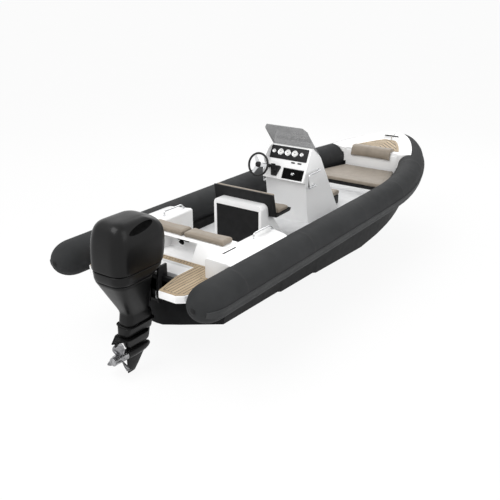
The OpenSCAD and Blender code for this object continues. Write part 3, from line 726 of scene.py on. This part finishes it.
def stern(white, teak, border, caulk, steel, black_and_shade):
    """Well, platforms, coamings, bulkhead, stern rails and shower."""
    moulded("motor_well", 0.01, white)
    moulded("swim_platforms", 0.012, white, segments=4)
    stern_planking(teak, border, caulk)
    sides = copy_of("coamings", "coaming_mouldings")
    soften(sides, 0.014, 4, 40)
    sides.data.materials.append(white)
    # The faces inside each coaming's recess are painted near-black: painted shade of the recess.
    paint_where(sides, black_and_shade, lambda c, n: 0.39 < c.x < 0.65 and 0.67 < abs(c.y) < 0.71
                and c.z < 0.4685)
    finish_off(sides, None, nodes=("coamings",))
    moulded("aft_bulkhead", 0.014, white)
    rails = []
    for y in (-0.7, 0.7):
        rails.append(rod("bar", [(0.985, y, 0.47), (0.985, y, 0.53), (1.32, y, 0.53),
                                 (1.375, y, 0.476)], 0.011, bend=0.035))
        for x in (0.985, 1.372):
            rails.append(turned("foot", [(0, 0.022), (0.003, 0.022), (0.006, 0.018)],
                                base=(x, y, 0.4702), sides=32))
    finish_off(join("stern_rail_bars", rails), steel, nodes=("stern_rails",))
    # The shower's recess is a near-black block on the bulkhead, with the head in the same
    # near-black: painted shade of the recess.
    fitting = block("recess_fitting", (0.655, 0.02, 0.36), (0.677, 0.2, 0.4))
    soften(fitting, 0.009)
    hook = turned("shower_head", [(0, 0.014), (0.03, 0.016), (0.045, 0.034), (0.06, 0.034)],
                  base=(0.66, 0.1, 0.385), along=(-0.8, 0, -0.5), sides=32)
    finish_off(join("recess_fitting", [fitting, hook]), black_and_shade)


# ---- Cushions ----

def stuffed(piece, node, voxel, cap, finish, body="boat"):
    """Swells a cover over its foam: a remeshed shell blown up as cloth, held to its seat."""
    edit(piece)
    bpy.ops.transform.shrink_fatten(value=-0.004, use_even_offset=True)
    bpy.ops.mesh.bevel(offset=0.014, segments=3, affect="EDGES")
    done()
    modify(piece, "REMESH", mode="VOXEL", voxel_size=voxel)
    count = len(piece.data.vertices)
    rest = np.zeros(count * 3)
    piece.data.vertices.foreach_get("co", rest)
    rest = rest.reshape(-1, 3)
    only(piece)
    cover = piece.modifiers.new("Cover", "CLOTH")
    cover.settings.use_pressure = True
    cover.settings.uniform_pressure_force = 4.0
    cover.settings.effector_weights.gravity = 0
    scene = bpy.context.scene
    for step in range(1, 21):
        scene.frame_set(step)
    blown = piece.evaluated_get(bpy.context.evaluated_depsgraph_get())
    swollen = np.zeros(count * 3)
    blown.data.vertices.foreach_get("co", swollen)
    move = swollen.reshape(-1, 3) - rest
    length = np.linalg.norm(move, axis=1, keepdims=True)
    rest = rest + move * np.minimum(1, cap / np.maximum(length, 1e-9))
    piece.modifiers.remove(cover)
    scene.frame_set(1)
    low, high = (np.array(corner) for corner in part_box(node))
    rest = np.clip(rest, low - (0.003, 0.003, 0), high + (0.003, 0.003, 0.008))
    piece.data.vertices.foreach_set("co", rest.ravel())
    piece.data.update()
    subdivide(piece, 1)
    finish_off(piece, finish, body, (node,))


def cushions(vinyl):
    """The bolster in two halves, and one stuffed cover for every other cushion."""
    low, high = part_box("bulkhead_bolster")
    for name, y0, y1 in (("starboard", low.y, 0.027), ("port", 0.033, high.y)):
        half = block("bulkhead_bolster_" + name, (low.x, y0, low.z), (high.x, y1, high.z))
        stuffed(half, "bulkhead_bolster", 0.008, 0.012, vinyl)
    for node, body, voxel, cap in (
            ("aft_seat_cushion", "aft_seat_top", 0.009, 0.012),
            ("helm_seat_cushion", "boat", 0.009, 0.012),
            ("helm_back_cushion", "boat", 0.009, 0.012),
            ("console_seat", "boat", 0.009, 0.014),
            ("sun_pad", "bow_locker_top", 0.012, 0.014),
            ("bow_bolster", "boat", 0.008, 0.012)):
        stuffed(copy_of(node, node + "_cover"), node, voxel, cap, vinyl, body)


# ---- Seats and lockers ----

def seats(white, panel):
    """Seat boxes, lids, the helm seat's shell and door, and the bow locker."""
    moulded("aft_seat_box", 0.008, white)
    moulded("aft_seat_lid", 0.006, white, "aft_seat_top")
    moulded("helm_seat_base", 0.016, white, segments=4, angle=28)
    moulded("helm_seat_shell", 0.006, panel)
    door = copy_of("helm_base_door", "helm_door_panel")
    faces_where(door, lambda c, n: n.x < -0.9)
    bpy.ops.mesh.inset(thickness=0.014, depth=-0.003)
    done()
    soften(door, 0.002, 2)
    finish_off(door, panel, "helm_door", ("helm_base_door",))
    moulded("bow_locker", 0.008, white)
    moulded("sun_pad_lid", 0.004, panel, "bow_locker_top")
    moulded("console_seat_box", 0.008, panel)


# ---- Console ----

lean = math.atan2(0.212, 0.437)  # how far the console's face leans forward
face_lip = Vector((2.7, 0, 0.665))
face_out = Vector((-math.cos(lean), 0, math.sin(lean)))
face_up = Vector((math.sin(lean), 0, math.cos(lean)))


def dash(out, across, up):
    """A point on the console's face: out of it, to port, and up it from its lower lip."""
    return face_lip + face_out * out + Vector((0, across, 0)) + face_up * up


def on_dash(piece, out, across, up):
    """Places a piece modelled flat at the origin, its top towards +Z, onto the face."""
    return put(piece, dash(out, across, up), (0, lean - math.pi / 2, 0))


def flat_plate(name, across, up, thick, corner):
    """A plate lying flat at the origin: width along Y, height along X."""
    bpy.ops.mesh.primitive_plane_add(size=1)
    piece = fresh(name)
    piece.scale = (up, across, 1)
    settle(piece)
    edit(piece)
    bpy.ops.mesh.bevel(offset=corner, segments=5, affect="VERTICES")
    bpy.ops.mesh.select_all(action="SELECT")
    pull((0, 0, thick))
    done()
    return outward(piece)


def gauges(panel, steel):
    """The gauge panel with three large dials between two small ones."""
    plate = flat_plate("gauge_panel_plate", 0.61, 0.185, 0.008, 0.012)
    soften(plate, 0.0015, 2)
    finish_off(on_dash(plate, 0.0005, 0, 0.379), panel, nodes=("gauge_panel",))
    face = dial_face()
    needle = black_panel("needle_black", (0.01, 0.01, 0.01))
    for i, (across, r) in enumerate(((0.245, 0.023), (0.135, 0.042), (0.018, 0.042),
                                     (-0.098, 0.042), (-0.209, 0.023))):
        ring = turned("gauge_bezel_%d" % i, [
            (0, r + 0.006), (0.006, r + 0.006), (0.009, r + 0.003), (0.008, r),
            (0.003, r - 0.001)])
        finish_off(on_dash(ring, 0.0085, across, 0.387), steel)
        bpy.ops.mesh.primitive_circle_add(vertices=48, radius=r, fill_type="NGON", calc_uvs=True)
        disc = fresh("gauge_dial_%d" % i)
        edit(disc)
        bpy.ops.mesh.inset(thickness=r * 0.12, depth=0.0008)
        done()
        finish_off(on_dash(disc, 0.0176, across, 0.387), face)
        hand = block("gauge_needle_%d" % i, (-0.003, -0.0012, 0),
                     (r * 0.75, 0.0012, 0.0012))
        soften(hand, 0.0005, 2)
        finish_off(on_dash(hand, 0.0188, across, 0.387), needle)


def console(white, panel, steel, black_and_shade, screen):
    """The console with its gauges, switches, throttle, glove box, rails and screen."""
    moulded("console", 0.012, white, segments=4, angle=28)
    gauges(panel, steel)
    switches = []
    for across in (-0.1, -0.205):
        switch = flat_plate("switch", 0.06, 0.018, 0.009, 0.006)
        soften(switch, 0.0015, 2)
        switches.append(on_dash(switch, 0.001, across, 0.258))
    finish_off(join("dash_switches", switches), panel)
    throttle(panel)
    lid = copy_of("glovebox_lid", "glovebox_door")
    faces_where(lid, lambda c, n: n.dot(face_out) > 0.99)
    bpy.ops.mesh.inset(thickness=0.01, depth=-0.0015)
    done()
    soften(lid, 0.0012, 2)
    finish_off(lid, black_and_shade, "glovebox", ("glovebox_lid",))
    knob = turned("glovebox_latch", [
        (0, 0.02), (0.003, 0.02), (0.005, 0.012), (0.012, 0.011), (0.014, 0.019),
        (0.02, 0.019), (0.023, 0.014)])
    finish_off(on_dash(knob, -0.002, -0.135, 0.098), steel, "glovebox")
    console_bars(steel)
    moulded("steering_column", 0.003, panel)
    glass = copy_of("windscreen", "windscreen_sheet")
    soften(glass, 0.0018, 2)
    finish_off(glass, screen, nodes=("windscreen",))


def throttle(panel):
    """The remote control: a shield-shaped plate, a lever and its grip."""
    plate = flat_plate("throttle_plate", 0.17, 0.15, 0.02, 0.022)
    edges_where(plate, lambda a, b: a.x < -0.05 and b.x < -0.05)
    resize((1, 0.55, 1))
    done()
    soften(plate, 0.005, 3)
    boss = turned("boss", [(0.02, 0.034), (0.034, 0.032), (0.04, 0.02)])
    plate = join("throttle_plate", [plate, put(boss, (0.005, 0, 0))])
    on_dash(plate, 0.0005, 0.16, 0.11)
    arm = rod("arm", [dash(0.03, 0.16, 0.115), dash(0.06, 0.16, 0.14),
                      dash(0.088, 0.16, 0.175)], 0.008, bend=0.02)
    grip = turned("grip", [
        (0, 0.009), (0.006, 0.013), (0.035, 0.014), (0.064, 0.013), (0.07, 0.009)],
        base=dash(0.088, 0.125, 0.178), along=(0, 1, 0), sides=32)
    finish_off(join("throttle_control", [plate, arm, grip]), panel,
               nodes=("throttle",))


def console_bars(steel):
    """Paired grab rails down each side of the console, joined at their after ends."""
    bars = []
    for side in (-1, 1):
        y, wall = side * 0.38, side * 0.335
        bars.append(rod("bar", [(3.11, wall, 0.77), (3.11, y, 0.77), (2.79, y, 0.77),
                                (2.782, y, 0.575), (2.99, y, 0.575), (2.99, wall, 0.575)],
                        0.0115, bend=0.03))
        for x, z in ((3.11, 0.77), (2.99, 0.575)):
            bars.append(turned("foot", [(0, 0.023), (0.004, 0.023), (0.007, 0.019)],
                               base=(x, wall, z), along=(0, side, 0), sides=32))
    finish_off(join("console_rail_bars", bars), steel, nodes=("console_rails",))


def steering_wheel(grip, steel, panel):
    """A sports wheel: a padded rim, three polished spokes and a domed cap."""
    tilt = math.radians(90 + 15.5)
    hub = Vector((2.489, 0.273, 0.892))

    def placed(piece):
        return put(piece, hub, (0, tilt, 0))

    bpy.ops.mesh.primitive_torus_add(major_radius=0.1545, minor_radius=0.0152,
                                     major_segments=96, minor_segments=20)
    rim = fresh("wheel_rim")
    faces_where(rim, lambda c, n: abs(math.degrees(math.atan2(c.y, c.x)) % 120 - 30) < 3)
    bpy.ops.transform.shrink_fatten(value=-0.0012)
    done()
    only(rim)
    bpy.ops.object.shade_smooth()
    finish_off(placed(rim), grip, "helm_wheel", ("steering_wheel",))
    spokes = []
    for degrees in (30, 150, 270):
        spoke = block("spoke", (0.03, -0.028, -0.003), (0.15, 0.028, 0.003))
        faces_where(spoke, lambda c, n: n.x > 0.9)
        resize((1, 0.62, 1))
        done()
        faces_where(spoke, lambda c, n: abs(n.z) > 0.9)
        bpy.ops.mesh.inset(thickness=0.007, depth=-0.0012)
        done()
        soften(spoke, 0.0012, 2)
        spokes.append(put(spoke, turn=(0, 0, math.radians(degrees))))
    finish_off(placed(join("wheel_spokes", spokes)), steel, "helm_wheel")
    boss = turned("wheel_hub", [
        (-0.022, 0.03), (-0.018, 0.037), (-0.006, 0.04), (0.02, 0.04), (0.03, 0.03),
        (0.09, 0.02), (0.14, 0.0125)])
    finish_off(placed(boss), panel, "helm_wheel")


# ---- Bow ----

def bow(white, teak, border, caulk, steel, grip):
    """Deck, wings down to the tubes, planking, post with its crossbar, and cleats."""
    moulded("bow_deck", 0.01, white, angle=38, flat=0.5)
    wings = copy_of("bow_covers", "bow_wing_covers", flat=0.5)
    edit(wings)
    bpy.ops.mesh.bisect(plane_co=(5.55, 0, 0), plane_no=(1, 0, 0), clear_inner=True,
                        use_fill=True)
    done()
    soften(wings, 0.006, 2, 38)
    finish_off(wings, white, nodes=("bow_covers",))
    for side in (-1, 1):
        y0, y1 = sorted((side * 0.481, side * 0.64))
        gusset = block("bow_gusset", (5.573, y0, 0.27), (5.6, y1, 0.5))
        gusset.data.materials.append(white)
        cut_out(gusset, copy_of("tube_starboard" if side < 0 else "tube_port", "cutter"))
        finish_off(gusset, None)
    finish_off(lay_planks(copy_of("bow_teak", "bow_teak_planking"), teak, border, caulk, 0.04),
               None, nodes=("bow_teak",))
    low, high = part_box("bow_post")
    tall = high.z - low.z
    post = turned("bow_post_stem", [
        (0, 0.03), (0.004, 0.03), (0.007, 0.012), (tall - 0.014, 0.012), (tall - 0.01, 0.016)],
        base=(6.42, 0, low.z))
    finish_off(post, steel, nodes=("bow_post",))
    bar = turned("bow_crossbar", [
        (0, 0.007), (0.004, 0.011), (0.13, 0.012), (0.138, 0.012), (0.264, 0.011),
        (0.268, 0.007)],
        base=(6.42, -0.134, high.z - 0.011), along=(0, 1, 0), sides=32)
    finish_off(bar, grip)
    deck_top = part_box("bow_teak")[1].z
    for i, y in enumerate((-0.27, 0.27)):
        feet = [turned("foot", [(0, 0.016), (0.004, 0.012), (0.02, 0.009), (0.024, 0.009)],
                       base=(x, y, deck_top - 0.008), sides=24) for x in (6.4, 6.46)]
        horn = turned("horn", [
            (0, 0.003), (0.012, 0.008), (0.08, 0.0095), (0.148, 0.008), (0.16, 0.003)],
            base=(6.35, y, deck_top + 0.016), along=(1, 0, 0), sides=24)
        finish_off(join("bow_cleat_%d" % i, feet + [horn]), steel)


# ---- Outboard ----

def cowl(paint, black_and_shade):
    """The engine cover: a rounded bonnet with an air slot in each shoulder."""
    shell = stacked("cowl_shell", [
        (0.451, -0.746, -0.02, 0.256), (0.458, -0.75, -0.016, 0.26), (0.53, -0.751, 0.01, 0.262),
        (0.64, -0.75, 0.034, 0.262), (0.77, -0.736, 0.038, 0.256), (0.86, -0.715, 0.01, 0.242),
        (0.92, -0.695, -0.05, 0.217), (0.96, -0.668, -0.11, 0.187), (0.987, -0.63, -0.18, 0.15),
        (1.0, -0.57, -0.25, 0.09)], 0.15, 6)
    subdivide(shell, 2)
    shell.data.materials.append(paint)
    for side in (-1, 1):
        bpy.ops.mesh.primitive_uv_sphere_add(segments=48, ring_count=24, radius=1)
        slot = bpy.context.object
        # Each slot is lined near-black: painted shade inside the air intake.
        slot.data.materials.append(black_and_shade)
        slot.scale = (0.19, 0.05, 0.034)
        turn = [math.radians(angle) for angle in (-30 * side, -8, -6 * side)]
        cut_out(shell, put(slot, (-0.37, side * 0.222, 0.905), turn))
    smooth(shell, 40)
    finish_off(shell, None, "outboard", ("cowl", "powerhead"))


def midsection(paint):
    """The splash pan and the leg that narrows down to the gearcase."""
    pan = stacked("motor_pan", [
        (0.332, -0.73, -0.135, 0.23), (0.336, -0.735, -0.13, 0.238),
        (0.368, -0.742, -0.125, 0.244), (0.386, -0.745, -0.03, 0.246),
        (0.43, -0.748, -0.02, 0.25), (0.444, -0.748, -0.02, 0.25),
        (0.449, -0.742, -0.026, 0.244)], 0.14, 6)
    subdivide(pan, 1)
    finish_off(pan, paint, "outboard")
    leg = stacked("motor_midsection", [
        (-0.262, -0.522, -0.13, 0.104), (-0.25, -0.523, -0.128, 0.107),
        (-0.135, -0.503, -0.131, 0.104), (-0.12, -0.5, -0.172, 0.102),
        (-0.09, -0.501, -0.178, 0.107), (0.02, -0.563, -0.18, 0.141),
        (0.12, -0.618, -0.183, 0.172), (0.24, -0.683, -0.187, 0.208),
        (0.325, -0.73, -0.19, 0.233), (0.331, -0.732, -0.19, 0.234)], 0.07, 5)
    subdivide(leg, 1)
    apron = stacked("apron", [
        (-0.3775, -0.557, -0.137, 0.08), (-0.37, -0.559, -0.136, 0.083),
        (-0.3, -0.548, -0.13, 0.095), (-0.265, -0.54, -0.127, 0.103),
        (-0.262, -0.54, -0.127, 0.103)], 0.05, 5)
    subdivide(apron, 1)
    splash = stacked("splash", [
        (-0.262, -0.534, -0.118, 0.126), (-0.258, -0.538, -0.114, 0.13),
        (-0.252, -0.538, -0.114, 0.13), (-0.249, -0.532, -0.12, 0.124)], 0.07, 5)
    smooth(splash, 40)
    finish_off(join("motor_leg_casting", [leg, apron, splash]), paint, "outboard",
               ("motor_leg",))


def gearcase(paint):
    """The lower unit: strut, anti-ventilation plate, torpedo, skeg and trim tab."""
    strut = stacked("strut", [
        (-0.56, -0.5, -0.152, 0.03), (-0.5, -0.515, -0.147, 0.037), (-0.4, -0.541, -0.14, 0.056),
        (-0.372, -0.544, -0.138, 0.059)], 0.028, 5)
    subdivide(strut, 1)
    plate = stacked("plate", [
        (-0.395, -0.6, -0.2, 0.116), (-0.393, -0.605, -0.195, 0.12), (-0.386, -0.605, -0.195, 0.12),
        (-0.384, -0.6, -0.2, 0.116)], 0.09, 6)
    faces_where(plate, lambda c, n: n.x < -0.75 and c.x < -0.55)
    pull((-0.1, 0, 0))
    resize((1, 0.2, 1), (-0.7, 0, -0.39))
    done()
    outward(plate)
    smooth(plate, 35)
    torpedo = turned("torpedo", [
        (0, 0.056), (0.006, 0.06), (0.1, 0.063), (0.2, 0.062), (0.27, 0.055), (0.32, 0.043),
        (0.355, 0.028), (0.368, 0.014), (0.371, 0.004)],
        base=(-0.505, 0, shaft_height), along=(1, 0, 0))
    smooth(torpedo, 60)
    skeg = stacked("skeg", [
        (-0.856, -0.5, -0.41, 0.006), (-0.85, -0.5, -0.395, 0.0085), (-0.78, -0.5, -0.325, 0.01),
        (-0.7, -0.5, -0.26, 0.012), (-0.65, -0.495, -0.215, 0.014), (-0.55, -0.49, -0.19, 0.022)],
        0.004, 3)
    smooth(skeg, 40)
    tab = stacked("tab", [
        (-0.45, -0.665, -0.62, 0.004), (-0.44, -0.67, -0.6, 0.006), (-0.395, -0.66, -0.59, 0.008)],
        0.003, 3)
    smooth(tab, 40)
    finish_off(join("gearcase_casting", [strut, plate, torpedo, skeg, tab]), paint, "outboard",
               ("gearcase",))


def propeller(prop):
    """Three raked blades on a flared hub."""
    hub = turned("hub", [
        (0, 0.044), (0.004, 0.05), (0.02, 0.049), (0.12, 0.053), (0.2, 0.056), (0.204, 0.052)],
        base=(-0.715, 0, shaft_height), along=(1, 0, 0))
    nut = turned("nut", [
        (0, 0.008), (0.003, 0.014), (0.012, 0.016), (0.018, 0.022), (0.022, 0.036)],
        base=(-0.736, 0, shaft_height), along=(1, 0, 0), sides=24)
    blades = []
    for k in range(3):
        blade = block("blade", (-0.005, -0.05, 0.035), (0.005, 0.05, 0.045))
        put(blade, turn=(0, 0, math.radians(40)))
        for rise, chord, twist, rake in ((0.035, 1.35, -6, -0.004), (0.035, 1.12, -5, -0.006),
                                         (0.03, 0.95, -4, -0.006), (0.025, 0.75, -3, -0.005),
                                         (0.015, 0.45, -1, -0.003)):
            top = max(v.co.z for v in blade.data.vertices)
            faces_where(blade, lambda c, n: c.z > top - 0.001 and n.z > 0.5)
            pull((rake, 0, rise))
            centre = (0, 0, top + rise)
            resize((chord if chord > 1 else 0.9, chord, 1), centre)
            bpy.ops.transform.rotate(value=math.radians(twist), orient_axis="Z",
                                     center_override=centre)
            done()
        outward(blade)
        subdivide(blade, 2)
        blades.append(put(blade, (-0.605, 0, shaft_height), (math.radians(120 * k), 0, 0)))
    wheel = join("propeller_casting", [hub, nut] + blades)
    finish_off(wheel, prop, "propeller", ("propeller",))


def mounting(paint, steel):
    """The transom clamp, the swivel that tilts on it, and the pair of trim rams."""
    moulded("motor_clamp", 0.004, paint)
    moulded("motor_swivel", 0.004, paint, "outboard_swivel")
    rams = [turned("barrel", [
        (0, 0.012), (0.003, 0.018), (0.09, 0.018), (0.094, 0.012), (0.096, 0.009),
        (0.124, 0.009)], base=(-0.022, y, -0.085), sides=32) for y in (-0.062, 0.062)]
    finish_off(join("trim_ram_pair", rams), steel, nodes=("trim_ram",))


# ---- Studio ----

def studio():
    """A pale floor under the keel, a white surround, soft lamps and the camera."""
    bpy.ops.mesh.primitive_plane_add(size=400, location=(2, 0, -0.868))
    ground = settle(fresh("studio_floor"))
    f = Finish("studio_floor", 0.9, Specular_IOR_Level=0.0)
    f.tones(0.3, 2, (0.9, 0.9, 0.9), (0.92, 0.92, 0.92))
    rays = f.node("LightPath").outputs
    seen = f.sum(f.sum(rays["Is Camera Ray"], rays["Is Glossy Ray"], "MAXIMUM"),
                 rays["Is Transmission Ray"], "MAXIMUM")
    glow = f.node("Emission", {"Color": (1, 1, 1, 1), "Strength": 1.0})
    mix = f.node("MixShader", {0: f.sum(seen, 0.9, "MULTIPLY"), 1: f.shader.outputs[0],
                               2: glow.outputs[0]})
    f.link(mix.outputs[0], f.nodes["Material Output"].inputs["Surface"])
    ground.data.materials.append(f.mat)

    world = bpy.data.worlds.new("surround")
    bpy.context.scene.world = world
    world.use_nodes = True
    nodes, links = world.node_tree.nodes, world.node_tree.links
    rays = nodes.new("ShaderNodeLightPath")
    seen = rays.outputs["Is Camera Ray"]
    for key in ("Is Glossy Ray", "Is Transmission Ray"):
        top = nodes.new("ShaderNodeMath")
        top.operation = "MAXIMUM"
        links.new(rays.outputs[key], top.inputs[0])
        links.new(seen, top.inputs[1])
        seen = top.outputs[0]
    mix = nodes.new("ShaderNodeMixShader")
    links.new(seen, mix.inputs[0])
    plain, white = nodes["Background"], nodes.new("ShaderNodeBackground")
    for i, (light, strength) in enumerate(((plain, 0.72), (white, 1.0))):
        light.inputs["Color"].default_value = (1, 1, 1, 1)
        light.inputs["Strength"].default_value = strength
        links.new(light.outputs[0], mix.inputs[i + 1])
    links.new(mix.outputs[0], nodes["World Output"].inputs["Surface"])

    amidships = Vector((2.5, 0, 0.2))
    for name, place, size, power in (("key_lamp", (-4.5, 1.0, 8), 6, 560),
                                     ("fill_lamp", (1.5, -9, 5), 7, 260),
                                     ("bow_lamp", (10, 3, 6), 6, 260)):
        bpy.ops.object.light_add(type="AREA", location=place)
        lamp = fresh(name)
        lamp.data.size = size
        lamp.data.energy = power
        lamp.rotation_euler = (Vector(place) - amidships).to_track_quat("Z", "Y").to_euler()

    bpy.ops.object.camera_add(location=(-5.029, -4.881, 3.285),
                              rotation=(math.radians(67.98), 0, math.radians(-54.84)))
    camera = bpy.context.object
    camera.data.lens = 48.15
    camera.data.sensor_width = 36
    camera.data.clip_end = 500
    bpy.context.scene.camera = camera
    bpy.context.scene.view_settings.view_transform = "Standard"


def build():
    """Finishes that several pieces share, then the pieces from collar to motor."""
    white, steel, panel = gelcoat(), polished_steel(), black_panel()
    black_and_shade, grip, hull_black = black_and_painted_shade(), soft_black(), hull_gloss()
    caulk, border = caulk_black(), teak_wood("teak_border", pitch=0.5, caulked=False)
    paint, bracket = motor_paint(), bracket_paint()
    collar()
    tail_caps()
    strakes()
    hull(hull_black)
    floor_deck(deck_grip())
    stern(white, teak_wood("teak_strips", pitch=0.045), border, caulk, steel, black_and_shade)
    seats(white, panel)
    cushions(marine_vinyl())
    console(white, panel, steel, black_and_shade, smoked_sheet())
    steering_wheel(grip, steel, panel)
    chevrons = teak_wood("teak_chevron", pitch=0.1, chevron=True, tone=1.1, seam_at=0.36)
    bow(white, chevrons, border, caulk, steel, grip)
    cowl(paint, black_and_shade)
    midsection(paint)
    gearcase(paint)
    propeller(propeller_steel())
    mounting(bracket, steel)
    studio()


build()
